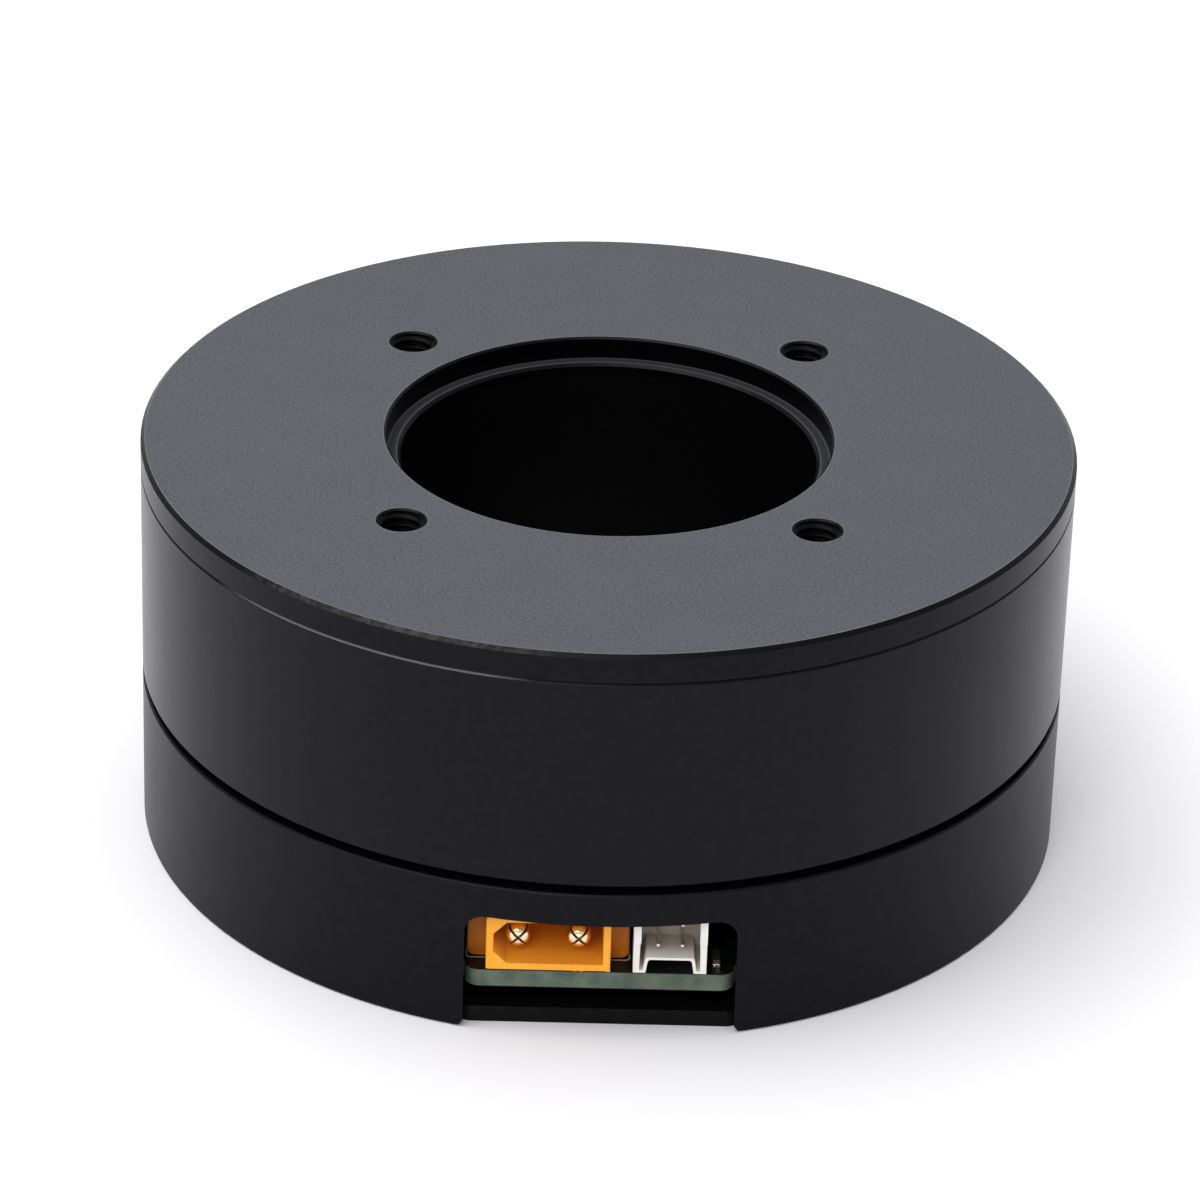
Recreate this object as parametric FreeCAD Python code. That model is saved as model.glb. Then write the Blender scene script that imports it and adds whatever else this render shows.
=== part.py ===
"""Hollow direct-drive robot joint actuator: a low round outer-rotor motor with a wide bore through it.

The base is the fixed half. It carries the stator, the circuit board and the two sockets, which look out
through a notch in its skirt. The rotor is the upper half: output plate, steel can, magnets and hollow
shaft turn together about +Z on two thin-section bearings.

Millimetres, +Z up, origin at the centre of the underside. The notch faces -Y.
"""

import FreeCAD
import Part
import math
import os

V = FreeCAD.Vector
UP = V(0, 0, 1)

# ---- outer body -----------------------------------------------------------------------------------
body_dia = 80.0
groove_gap = 0.8
can_height = 18.75
plate_thick = 2.65
edge_break = 0.15
plate_chamfer = 0.35

# ---- output interface -----------------------------------------------------------------------------
register_ledge = 1.25
register_depth = 2.0
register_chamfer = 0.2
output_bolt_square = 34.5
output_thread_dia = 4.0
thread_mouth_chamfer = 0.18

# ---- hollow shaft ---------------------------------------------------------------------------------
bore_dia = 35.7
bore_chamfer = 0.25
shaft_tube_wall = 1.4
shaft_floor_gap = 0.6
shaft_flange_margin = 3.6
shaft_flange_thick = 1.95
shaft_flange_recess = 0.4
shaft_shoulder_width = 1.2
journal_wall = 2.13
lock_thread_length = 2.4
lock_slot_width = 2.0

# ---- bearings, thin section: 40 x 50 x 6 on the journal -------------------------------------------
bearing_section = 5.0
bearing_width = 6.0
race_wall = 1.5
shield_thick = 0.3
shield_recess = 0.25
shield_gap = 0.2
bearing_to_hub_top = 0.4

# ---- rotor ring -----------------------------------------------------------------------------------
can_wall = 2.0
spigot_depth = 0.8
magnet_count = 28
magnet_thick = 2.0
magnet_slit_deg = 1.6
glue_line = 0.05
air_gap = 0.6

# ---- stator ---------------------------------------------------------------------------------------
slot_count = 24
stack_to_can_end = 1.1
yoke_width = 2.0
tooth_width = 3.6
tooth_tip = 0.9
slot_opening = 1.6
coil_liner = 0.3
coil_side = 1.5
coil_bevel = 0.7
coil_radial_clearance = 0.2
coil_to_flange = 0.4

# ---- base housing ---------------------------------------------------------------------------------
skirt_wall = 2.0
rim_wall = 3.5
deck_thick = 1.8
rim_step = 0.9
hub_wall = 1.8
hub_shoulder = 1.2
seat_clearance = 0.02
running_gap = 0.4
socket_headroom = 1.0
mount_count = 4
mount_boss_dia = 8.0
mount_boss_gap = 1.5
mount_thread_dia = 4.0
mount_end_wall = 2.1

# ---- notch for the sockets ------------------------------------------------------------------------
notch_width = 22.4
notch_lintel = 0.2
notch_corner = 1.8
notch_foot_round = 0.9
notch_setback = 2.6

# ---- bottom cover ---------------------------------------------------------------------------------
cover_thick = 1.45
cover_lip = 1.0
cover_clearance = 0.1
cover_bore_gap = 1.0
cover_screw_inset = 2.0
cover_screw_dia = 2.0
cover_screw_head = 3.6
cover_screw_length = 5.0
cover_screw_count = 6
cover_post_dia = 4.4
cover_post_end = 1.5

# ---- circuit board --------------------------------------------------------------------------------
board_gap = 1.95
board_thick = 1.6
board_edge_gap = 0.4
board_bore_gap = 1.0
board_tab_gap = 0.1
board_tab_corner = 1.2
board_screw_inset = 9.6
board_screw_dia = 2.0
board_screw_head = 3.6
board_screw_head_height = 1.2
board_screw_grip = 3.0
board_screw_degs = (20.0, 160.0, 200.0, 340.0)
board_post_dia = 4.4
boss_clearance = 0.3

# ---- power socket ---------------------------------------------------------------------------------
power_centre_x = -4.27
power_width = 10.25
power_height = 5.1
power_wall = 0.57
power_key_chamfer = 1.1
power_nose = 2.2
power_depth = 8.8
power_back_wall = 1.8
power_flange_width = 13.4
power_flange_round = 0.6
power_pin_pitch = 5.0
power_pin_dia = 2.0
power_pin_recess = 0.85
power_pin_slot = 0.26
power_pin_slot_depth = 3.0
power_pin_tip_share = 0.55

# ---- signal socket --------------------------------------------------------------------------------
signal_centre_x = 5.75
signal_width = 6.06
signal_height = 5.5
signal_wall = 0.62
signal_skin = 0.25
signal_foot_height = 1.25
signal_foot_width = 1.05
signal_foot_flare = 0.22
signal_depth = 6.8
signal_back_wall = 3.0
signal_pin_pitch = 2.0
signal_pin_size = 0.4
signal_pin_recess = 0.4
signal_rail = 0.25
signal_rail_share = 0.45

# ---- small parts on the board ---------------------------------------------------------------------
chip_height = 0.9
control_chip_size = 6.0
chips_to_leads = 4.4
control_chip_deg = 78.0
driver_chip_size = 4.0
driver_chip_deg = 60.0
transistor_size = 3.3
transistor_inset = 6.1
transistor_degs = (10.0, -8.0, -26.0, 170.0, 188.0, 206.0)
capacitor_length = 1.9
capacitor_width = 0.7
capacitor_height = 0.8
capacitor_gap = 0.5
capacitor_inset = 0.95
encoder_chip_size = 3.0
encoder_chip_inset = 0.15
encoder_chip_deg = 90.0

# ---- phase leads ----------------------------------------------------------------------------------
lead_dia = 1.6
lead_hole_clearance = 0.3
lead_count = 3
lead_first_coil = 6

# ---- encoder ring and screws ----------------------------------------------------------------------
encoder_ring_width = 2.8
encoder_ring_height = 2.6
encoder_gap = 0.6
shaft_screw_dia = 2.5
shaft_screw_head = 4.6
shaft_screw_bite = 1.7
shaft_screw_count = 4
screw_clearance = 0.05
socket_depth_share = 0.5
socket_width_share = 0.5

# ---- worked-out radii and places ------------------------------------------------------------------
body_r = body_dia / 2
can_inner_r = body_r - can_wall
magnet_outer_r = can_inner_r - glue_line
magnet_inner_r = magnet_outer_r - magnet_thick
stack_outer_r = magnet_inner_r - air_gap
bore_r = bore_dia / 2
tube_r = bore_r + shaft_tube_wall
journal_r = bore_r + journal_wall
race_bore_r = journal_r + seat_clearance
bearing_r = race_bore_r + bearing_section
hub_inner_r = bearing_r + seat_clearance
hub_r = hub_inner_r + hub_wall
register_r = bore_r + register_ledge
output_hole_r = output_bolt_square / math.sqrt(2)
shaft_flange_r = output_hole_r + shaft_flange_margin
skirt_inner_r = body_r - skirt_wall
mount_r = skirt_inner_r - mount_boss_gap - mount_boss_dia / 2
rabbet_r = body_r - cover_lip
cover_screw_r = skirt_inner_r - cover_screw_inset
cover_bore_r = tube_r + cover_bore_gap
board_r = skirt_inner_r - board_edge_gap
board_bore_r = tube_r + board_bore_gap
board_screw_r = board_r - board_screw_inset
coil_inner_r = hub_r + yoke_width + coil_radial_clearance
coil_outer_r = stack_outer_r - tooth_tip - coil_radial_clearance
lead_r = (coil_inner_r + coil_outer_r) / 2
chip_r = lead_r - chips_to_leads
front_y = notch_setback - body_r

# ---- worked-out heights, from the underside up ----------------------------------------------------
board_z = cover_thick + board_gap
board_top_z = board_z + board_thick
deck_z = board_top_z + power_height + socket_headroom
deck_top_z = deck_z + deck_thick
base_height = deck_top_z + rim_step
can_z = base_height + groove_gap
plate_z = can_z + can_height
top_z = plate_z + plate_thick
ledge_z = top_z - register_depth
spigot_z = plate_z - spigot_depth
flange_top_z = spigot_z + shaft_flange_recess
flange_z = flange_top_z - shaft_flange_thick
hub_top_z = flange_z - running_gap
upper_bearing_z = hub_top_z - bearing_to_hub_top - bearing_width
lower_bearing_z = deck_top_z
shoulder_z = upper_bearing_z + bearing_width
lock_ring_z = lower_bearing_z - lock_thread_length
stack_z = can_z + stack_to_can_end
coil_end = coil_liner + coil_side
stack_top_z = flange_z - coil_to_flange - coil_end
encoder_ring_z = board_top_z + chip_height + encoder_gap


# ---- helpers --------------------------------------------------------------------------------------
def turned(outline):
    """A solid of revolution about Z from (radius, height) corners."""
    points = [V(r, 0, z) for r, z in outline]
    face = Part.Face(Part.makePolygon(points + [points[0]]))
    return face.revolve(V(0, 0, 0), UP, 360)


def tube(inner_r, outer_r, z0, z1):
    """A plain ring about Z."""
    return turned([(inner_r, z0), (outer_r, z0), (outer_r, z1), (inner_r, z1)])


def rod(centre, radius, z0, z1):
    """An upright cylinder at a (x, y) centre."""
    return Part.makeCylinder(radius, z1 - z0, V(centre[0], centre[1], z0))


def cone(centre, r0, r1, z0, z1):
    """An upright cone frustum, radius r0 at z0 and r1 at z1."""
    return Part.makeCone(r0, r1, z1 - z0, V(centre[0], centre[1], z0))


def block(x0, x1, y0, y1, z0, z1):
    """A box between two corners."""
    return Part.makeBox(x1 - x0, y1 - y0, z1 - z0, V(x0, y0, z0))


def at(radius, degrees):
    """The (x, y) point at a radius and an angle from +X."""
    a = math.radians(degrees)
    return radius * math.cos(a), radius * math.sin(a)


def ring_of(radius, count, first=0.0):
    """Evenly spaced (x, y) points on a circle."""
    return [at(radius, first + 360.0 * k / count) for k in range(count)]


def spun(shape, degrees):
    """A copy of shape turned about Z."""
    copy = shape.copy()
    copy.rotate(V(0, 0, 0), UP, degrees)
    return copy


def prism(corners, y0, y1):
    """A prism along Y over (x, z) corners."""
    points = [V(x, y0, z) for x, z in corners]
    face = Part.Face(Part.makePolygon(points + [points[0]]))
    return face.extrude(V(0, y1 - y0, 0))


def rounded_prism(x0, x1, z0, z1, radius, y0, y1):
    """A prism along Y over a rectangle with rounded corners."""
    shape = block(x0, x1, y0, y1, z0, z1)
    edges = [e for e in shape.Edges if abs(e.tangentAt(e.FirstParameter).y) > 0.9]
    return shape.makeFillet(radius, edges)


def socket_screw(centre, dia, head_dia, head_height, length, seat_z, headward):
    """A socket-head screw seated at seat_z. headward is +1 when its head points up, -1 when down."""
    tip_z = seat_z - headward * length
    low, high = sorted((seat_z, tip_z))
    shank = rod(centre, dia / 2, low, high)
    far_z = seat_z + headward * head_height
    low, high = sorted((seat_z, far_z))
    head = rod(centre, head_dia / 2, low, high)
    return shank.fuse(head).cut(hex_socket(centre, dia, head_height, far_z, headward))


def hex_socket(centre, dia, head_height, face_z, headward):
    """The hexagonal key recess of a screw, sunk from the head's face."""
    radius = dia * socket_width_share
    depth = head_height * socket_depth_share
    corners = [V(centre[0] + x, centre[1] + y, face_z) for x, y in ring_of(radius, 6)]
    face = Part.Face(Part.makePolygon(corners + [corners[0]]))
    return face.extrude(V(0, 0, -headward * depth))


def countersunk_screw(centre, dia, head_dia, length, face_z, headward):
    """A countersunk screw whose flat head face lies at face_z."""
    sink = (head_dia - dia) / 2
    neck_z = face_z - headward * sink
    tip_z = face_z - headward * length
    low, high = sorted((neck_z, tip_z))
    shank = rod(centre, dia / 2, low, high)
    if headward > 0:
        head = cone(centre, dia / 2, head_dia / 2, neck_z, face_z)
    else:
        head = cone(centre, head_dia / 2, dia / 2, face_z, neck_z)
    return shank.fuse(head).cut(hex_socket(centre, dia, sink, face_z, headward))


def countersink(centre, dia, head_dia, depth, face_z, headward):
    """The hole that takes a countersunk screw: a clearance drill and its cone."""
    grow = screw_clearance
    sink = (head_dia - dia) / 2
    low, high = sorted((face_z, face_z - headward * depth))
    drill = rod(centre, dia / 2 + grow, low, high)
    neck_z = face_z - headward * sink
    if headward > 0:
        seat = cone(centre, dia / 2 + grow, head_dia / 2 + grow, neck_z, face_z)
    else:
        seat = cone(centre, head_dia / 2 + grow, dia / 2 + grow, face_z, neck_z)
    return drill.fuse(seat)


def cut_all(shape, cutters):
    """Shape with every cutter taken away."""
    return shape.cut(cutters) if cutters else shape


def save(node, *solids):
    """Writes one node: every solid in it stays separate."""
    pieces = [s for shape in solids for s in shape.Solids]
    bad = [s for s in pieces if not s.isValid() or s.Volume <= 0]
    if bad or not pieces:
        raise ValueError(f"{node} is not made of sound solids")
    Part.Compound(pieces).exportStep(f"parts/{node}.step")


# ---- rotor ----------------------------------------------------------------------------------------
def output_holes():
    """Centres of the four threaded holes in the output face."""
    return ring_of(output_hole_r, 4, 45.0)


def shaft_screw_spots():
    """Centres of the screws that hold the plate to the shaft flange, between the threaded holes."""
    return ring_of(output_hole_r, shaft_screw_count)


def output_plate():
    """The rotor's end plate: its register has a ledge at the bottom, its underside steps into the can."""
    c = plate_chamfer
    spigot_r = can_inner_r - glue_line
    recess_r = shaft_flange_r + seat_clearance
    plate = turned([
        (bore_r, flange_top_z), (bore_r, ledge_z - bore_chamfer), (bore_r + bore_chamfer, ledge_z),
        (register_r, ledge_z), (register_r, top_z - register_chamfer),
        (register_r + register_chamfer, top_z), (body_r - c, top_z), (body_r, top_z - c),
        (body_r, plate_z + edge_break), (body_r - edge_break, plate_z), (spigot_r, plate_z),
        (spigot_r, spigot_z), (recess_r, spigot_z), (recess_r, flange_top_z),
    ])
    thread_r = output_thread_dia / 2
    mouth = thread_mouth_chamfer
    cutters = []
    for spot in output_holes():
        cutters.append(rod(spot, thread_r, flange_top_z, top_z))
        cutters.append(cone(spot, thread_r, thread_r + mouth, top_z - mouth, top_z))
    for spot in shaft_screw_spots():
        drill_r = shaft_screw_dia / 2 + screw_clearance
        cutters.append(rod(spot, drill_r, flange_top_z, flange_top_z + shaft_screw_bite + screw_clearance))
    return cut_all(plate, cutters)


def rotor_can():
    """The steel ring that closes the magnets' flux and is the turning outer wall."""
    c = edge_break
    return turned([
        (can_inner_r, can_z), (body_r - c, can_z), (body_r, can_z + c),
        (body_r, plate_z - c), (body_r - c, plate_z), (can_inner_r, plate_z),
    ])


def rotor_magnets():
    """Arc magnets glued inside the can, one per pole."""
    sweep = 360.0 / magnet_count - magnet_slit_deg
    height = stack_top_z - stack_z
    base = V(0, 0, stack_z)
    outer = Part.makeCylinder(magnet_outer_r, height, base, UP, sweep)
    arc = outer.cut(Part.makeCylinder(magnet_inner_r, height, base, UP, 360))
    return [spun(arc, 360.0 * k / magnet_count) for k in range(magnet_count)]


def hollow_shaft():
    """Flanged tube: a flange under the plate, a shoulder and journal for the bearings, then a thin tube."""
    c = bore_chamfer
    shoulder_r = journal_r + shaft_shoulder_width
    shaft = turned([
        (bore_r, shaft_floor_gap + c), (bore_r + c, shaft_floor_gap), (tube_r, shaft_floor_gap),
        (tube_r, lock_ring_z), (journal_r, lock_ring_z), (journal_r, shoulder_z),
        (shoulder_r, shoulder_z), (shoulder_r, flange_z), (shaft_flange_r, flange_z),
        (shaft_flange_r, flange_top_z), (bore_r, flange_top_z),
    ])
    cutters = [rod(spot, output_thread_dia / 2, flange_z, flange_top_z) for spot in output_holes()]
    for spot in shaft_screw_spots():
        cutters.append(
            countersink(spot, shaft_screw_dia, shaft_screw_head, shaft_flange_thick, flange_z, -1)
        )
    return cut_all(shaft, cutters)


def shaft_screws():
    """Countersunk screws from below, through the shaft flange and into the plate."""
    length = shaft_flange_thick + shaft_screw_bite
    return [
        countersunk_screw(spot, shaft_screw_dia, shaft_screw_head, length, flange_z, -1)
        for spot in shaft_screw_spots()
    ]


def lock_ring():
    """Slotted nut on the journal's end that clamps both inner races against the shoulder."""
    outer_r = race_bore_r + race_wall
    ring = tube(race_bore_r, outer_r, lock_ring_z, lower_bearing_z)
    half = lock_slot_width / 2
    slot_top_z = lock_ring_z + lock_thread_length / 2
    slot = block(bore_r, outer_r + 1, -half, half, lock_ring_z, slot_top_z)
    return cut_all(ring, [spun(slot, 90.0 * k) for k in range(4)])


def encoder_ring():
    """Magnetised ring glued on the thin tube, just above the sensor."""
    inner_r = tube_r + glue_line
    return tube(inner_r, inner_r + encoder_ring_width, encoder_ring_z, encoder_ring_z + encoder_ring_height)


# ---- bearings -------------------------------------------------------------------------------------
def inner_race(z):
    """The bearing's inner ring, on the journal."""
    return tube(race_bore_r, race_bore_r + race_wall, z, z + bearing_width)


def bearing_spacer():
    """Tube between the two inner races, as thick as they are."""
    return tube(race_bore_r, race_bore_r + race_wall, lower_bearing_z + bearing_width, upper_bearing_z)


def outer_race(z):
    """The bearing's outer ring, in the hub."""
    return tube(bearing_r - race_wall, bearing_r, z, z + bearing_width)


def shields(z):
    """Two thin shields fixed in the outer ring, clear of the inner one."""
    inner = race_bore_r + race_wall + shield_gap
    outer = bearing_r - race_wall
    low = z + shield_recess
    high = z + bearing_width - shield_recess
    return [tube(inner, outer, low, low + shield_thick), tube(inner, outer, high - shield_thick, high)]


# ---- stator ---------------------------------------------------------------------------------------
def stator_core():
    """Laminated stack on the hub: a yoke with parallel-sided teeth and wide tooth tips."""
    half_pitch = math.tan(math.pi / slot_count)
    root_r = hub_r + yoke_width
    tip_r = stack_outer_r - tooth_tip
    root_half = root_r * half_pitch - tooth_width / 2
    tip_half = tip_r * half_pitch - tooth_width / 2
    open_half = slot_opening / 2
    beyond = stack_outer_r + 1
    corners = [
        (root_r, -root_half), (tip_r, -tip_half), (tip_r, -open_half), (beyond, -open_half),
        (beyond, open_half), (tip_r, open_half), (tip_r, tip_half), (root_r, root_half),
    ]
    points = [V(x, y, stack_z) for x, y in corners]
    slot = Part.Face(Part.makePolygon(points + [points[0]])).extrude(V(0, 0, stack_top_z - stack_z))
    core = tube(hub_r + glue_line, stack_outer_r, stack_z, stack_top_z)
    first = 180.0 / slot_count
    return cut_all(core, [spun(slot, first + 360.0 * k / slot_count) for k in range(slot_count)])


def stator_coils():
    """One wound coil round each tooth, as a bevelled loop that stands off the tooth by its liner."""
    x0, x1 = coil_inner_r, coil_outer_r
    in_y = tooth_width / 2 + coil_liner
    in_z0 = stack_z - coil_liner
    in_z1 = stack_top_z + coil_liner
    out_y = in_y + coil_side
    outer = block(x0, x1, -out_y, out_y, in_z0 - coil_side, in_z1 + coil_side)
    along = [e for e in outer.Edges if abs(e.tangentAt(e.FirstParameter).x) > 0.9]
    outer = outer.makeChamfer(coil_bevel, along)
    coil = outer.cut(block(x0, x1, -in_y, in_y, in_z0, in_z1))
    return [spun(coil, 360.0 * k / slot_count) for k in range(slot_count)]


def lead_spots():
    """Where the three phase leads pass through the deck, each under the middle of its own coil."""
    return [at(lead_r, 360.0 * (lead_first_coil + k) / slot_count) for k in range(lead_count)]


def phase_leads():
    """Three stiff insulated leads from the windings down to the board."""
    return [rod(spot, lead_dia / 2, board_top_z, stack_z - coil_end) for spot in lead_spots()]


# ---- base housing ---------------------------------------------------------------------------------
def mount_spots():
    """Centres of the mounting bosses in the underside."""
    return ring_of(mount_r, mount_count, 180.0 / mount_count)


def cover_screw_spots():
    """Centres of the cover's screws, clear of the notch."""
    return ring_of(cover_screw_r, cover_screw_count)


def board_screw_spots():
    """Centres of the circuit board's screws."""
    return [at(board_screw_r, a) for a in board_screw_degs]


def notch_cutter():
    """Cuts the notch through the skirt: its outline is rounded above and flared at the floor."""
    half = notch_width / 2
    top = deck_z - notch_lintel
    r = notch_corner
    f = notch_foot_round
    y = -body_r - 1
    k = math.sqrt(0.5)

    def p(x, z):
        return V(x, y, z)

    right = [
        Part.Arc(p(half + f, 0), p(half + f - f * k, f - f * k), p(half, f)).toShape(),
        Part.makeLine(p(half, f), p(half, top - r)),
        Part.Arc(p(half, top - r), p(half - r + r * k, top - r + r * k), p(half - r, top)).toShape(),
    ]
    over = Part.makeLine(p(half - r, top), p(r - half, top))
    left = [
        Part.Arc(p(r - half, top), p(r - half - r * k, top - r + r * k), p(-half, top - r)).toShape(),
        Part.makeLine(p(-half, top - r), p(-half, f)),
        Part.Arc(p(-half, f), p(-half - f + f * k, f - f * k), p(-half - f, 0)).toShape(),
    ]
    floor = Part.makeLine(p(-half - f, 0), p(half + f, 0))
    wire = Part.Wire(right + [over] + left + [floor])
    inner_y = math.sqrt(skirt_inner_r ** 2 - (half + f) ** 2)
    return Part.Face(wire).extrude(V(0, body_r + 2 - inner_y, 0))


def base_housing():
    """Skirt, deck and bearing hub in one turned piece, with bosses and posts under the deck."""
    c = edge_break
    rim_r = body_r - rim_wall
    rib_r = hub_inner_r - hub_shoulder
    upper_seat = upper_bearing_z
    lower_seat = lower_bearing_z + bearing_width
    body = turned([
        (body_r - c, 0), (body_r, c), (body_r, base_height - c), (body_r - c, base_height),
        (rim_r, base_height), (rim_r, deck_top_z), (hub_r, deck_top_z), (hub_r, hub_top_z),
        (hub_inner_r, hub_top_z), (hub_inner_r, upper_seat), (rib_r, upper_seat), (rib_r, lower_seat),
        (hub_inner_r, lower_seat), (hub_inner_r, deck_z), (skirt_inner_r, deck_z),
        (skirt_inner_r, cover_thick), (rabbet_r, cover_thick), (rabbet_r, 0),
    ])
    posts = [rod(s, mount_boss_dia / 2, 0, deck_z) for s in mount_spots()]
    posts += [rod(s, board_post_dia / 2, board_top_z, deck_z) for s in board_screw_spots()]
    inside = rod((0, 0), skirt_inner_r + skirt_wall / 2, cover_thick, deck_z)
    for spot in cover_screw_spots():
        post = rod(spot, cover_post_dia / 2, cover_thick, cover_screw_length + cover_post_end)
        posts.append(post.common(inside))
    body = body.fuse(posts)
    cutters = [rod(s, mount_thread_dia / 2, 0, deck_z - mount_end_wall) for s in mount_spots()]
    for spot in cover_screw_spots():
        drill_r = cover_screw_dia / 2 + screw_clearance
        cutters.append(rod(spot, drill_r, cover_thick, cover_screw_length + screw_clearance))
    for spot in board_screw_spots():
        drill_r = board_screw_dia / 2 + screw_clearance
        cutters.append(rod(spot, drill_r, board_top_z, board_top_z + board_screw_grip + screw_clearance))
    for spot in lead_spots():
        cutters.append(rod(spot, lead_dia / 2 + lead_hole_clearance, deck_z, deck_top_z))
    cutters.append(notch_cutter())
    return cut_all(body, cutters).removeSplitter()


def bottom_cover():
    """Flat cover let into the skirt's rabbet: bosses pass through it and a flat shows in the notch."""
    outer_r = rabbet_r - cover_clearance
    cover = tube(cover_bore_r, outer_r, 0, cover_thick)
    cutters = [rod(s, mount_boss_dia / 2 + cover_clearance, 0, cover_thick) for s in mount_spots()]
    for spot in cover_screw_spots():
        cutters.append(countersink(spot, cover_screw_dia, cover_screw_head, cover_thick, 0, -1))
    cutters.append(block(-body_r, body_r, -body_r, front_y, 0, cover_thick))
    return cut_all(cover, cutters)


def cover_screws():
    """Countersunk screws flush with the underside."""
    return [
        countersunk_screw(spot, cover_screw_dia, cover_screw_head, cover_screw_length, 0, -1)
        for spot in cover_screw_spots()
    ]


# ---- circuit board --------------------------------------------------------------------------------
def circuit_board():
    """Ring-shaped board with a square tab that fills the notch's width."""
    half = notch_width / 2 - board_tab_gap
    low, high = board_z, board_top_z
    disc = rod((0, 0), board_r, low, high).cut(block(-half, half, -body_r, front_y, low, high))
    tab = block(-half, half, front_y, 0, low, high)
    corners = [
        e for e in tab.Edges
        if abs(e.tangentAt(e.FirstParameter).z) > 0.9 and e.CenterOfMass.y < front_y / 2
    ]
    tab = tab.makeFillet(board_tab_corner, corners)
    board = disc.fuse(tab)
    cutters = [rod((0, 0), board_bore_r, low, high)]
    cutters += [rod(s, mount_boss_dia / 2 + boss_clearance, low, high) for s in mount_spots()]
    cutters += [rod(s, cover_post_dia / 2 + boss_clearance, low, high) for s in cover_screw_spots()]
    cutters += [rod(s, board_screw_dia / 2 + screw_clearance, low, high) for s in board_screw_spots()]
    cutters.append(block(-body_r, body_r, -body_r, front_y, low, high))
    return cut_all(board, cutters).removeSplitter()


def board_screws():
    """Socket-head screws up through the board into the deck's posts."""
    length = board_thick + board_screw_grip
    return [
        socket_screw(
            spot, board_screw_dia, board_screw_head, board_screw_head_height, length, board_z, -1
        )
        for spot in board_screw_spots()
    ]


def power_socket():
    """Two-pole power socket: a keyed nose in front of a wider body that sits on the board."""
    low = board_top_z
    high = low + power_height
    x0 = power_centre_x - power_width / 2
    x1 = power_centre_x + power_width / 2
    back = front_y + power_depth
    nose = block(x0, x1, front_y, front_y + power_nose, low, high)
    flange_x0 = power_centre_x - power_flange_width / 2
    flange_x1 = power_centre_x + power_flange_width / 2
    body = rounded_prism(flange_x0, flange_x1, low, high, power_flange_round, front_y + power_nose, back)
    k = power_key_chamfer
    in_x0, in_x1 = x0 + power_wall, x1 - power_wall
    in_low, in_high = low + power_wall, high - power_wall
    cavity = prism(
        [(in_x0 + k, in_low), (in_x1, in_low), (in_x1, in_high), (in_x0 + k, in_high),
         (in_x0, in_high - k), (in_x0, in_low + k)],
        front_y, back - power_back_wall,
    )
    return nose.fuse(body).removeSplitter().cut(cavity)


def power_pins():
    """Two round contacts with domed tips split crosswise."""
    radius = power_pin_dia / 2
    z = board_top_z + power_height / 2
    tip_y = front_y + power_pin_recess
    root_y = front_y + power_depth - power_back_wall
    far = 2 * radius
    half_slot = power_pin_slot / 2
    along = V(0, 1, 0)
    pins = []
    for side in (-1, 1):
        x = power_centre_x + side * power_pin_pitch / 2
        neck_y = tip_y + radius / 2
        shank = Part.makeCylinder(radius, root_y - neck_y, V(x, neck_y, z), along)
        dome = Part.makeCone(radius * power_pin_tip_share, radius, radius / 2, V(x, tip_y, z), along)
        pin = shank.fuse(dome)
        for tilt in (45, 135):
            slit = block(-far, far, tip_y, tip_y + power_pin_slot_depth, -half_slot, half_slot)
            slit.rotate(V(0, 0, 0), along, tilt)
            slit.translate(V(x, 0, z))
            pin = pin.cut(slit)
        pins.append(pin)
    return pins


def signal_socket():
    """Two-row signal header: an open shroud on two hollow feet, with rails along its upper sides."""
    low = board_top_z
    high = low + signal_height
    x0 = signal_centre_x - signal_width / 2
    x1 = signal_centre_x + signal_width / 2
    foot = signal_foot_width
    shoulder = signal_foot_width + signal_foot_flare
    arch_z = low + signal_foot_height
    back = front_y + signal_depth
    shroud = prism(
        [(x0, low), (x0 + foot, low), (x0 + shoulder, arch_z), (x1 - shoulder, arch_z),
         (x1 - foot, low), (x1, low), (x1, high), (x0, high)],
        front_y, back,
    )
    k = signal_skin
    in_x0, in_x1 = x0 + signal_wall, x1 - signal_wall
    cavity = prism(
        [(in_x0, low + k), (x0 + foot - k, low + k), (x0 + shoulder - k, arch_z + k),
         (x1 - shoulder + k, arch_z + k), (x1 - foot + k, low + k), (in_x1, low + k),
         (in_x1, high - k), (in_x0, high - k)],
        front_y, back - signal_back_wall,
    )
    rail_z = high - signal_height * signal_rail_share
    rail_y = front_y - signal_rail
    rails = [
        block(x0, in_x0, rail_y, front_y, rail_z, high),
        block(in_x1, x1, rail_y, front_y, rail_z, high),
    ]
    return shroud.cut(cavity).fuse(rails).removeSplitter()


def signal_pins():
    """Four square pins in two rows."""
    half = signal_pin_size / 2
    floor_z = board_top_z + signal_foot_height + signal_skin
    middle = (floor_z + board_top_z + signal_height - signal_skin) / 2
    y0 = front_y + signal_pin_recess
    y1 = front_y + signal_depth - signal_back_wall
    pins = []
    for column in (-0.5, 0.5):
        for row in (-0.5, 0.5):
            x = signal_centre_x + column * signal_pin_pitch
            z = middle + row * signal_pin_pitch
            pins.append(block(x - half, x + half, y0, y1, z - half, z + half))
    return pins


def chip(size, radius, degrees):
    """A flat square package on the board, square to the radius."""
    half = size / 2
    body = block(radius - half, radius + half, -half, half, board_top_z, board_top_z + chip_height)
    return spun(body, degrees)


def power_transistors():
    """Six power transistors in two banks, one each side of the notch."""
    return [chip(transistor_size, board_r - transistor_inset, a) for a in transistor_degs]


def board_capacitor():
    """Ceramic capacitor at the board's edge, beside the signal socket."""
    x0 = signal_centre_x + signal_width / 2 + capacitor_gap
    y0 = front_y + capacitor_inset
    top = board_top_z + capacitor_height
    return block(x0, x0 + capacitor_width, y0, y0 + capacitor_length, board_top_z, top)


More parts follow.
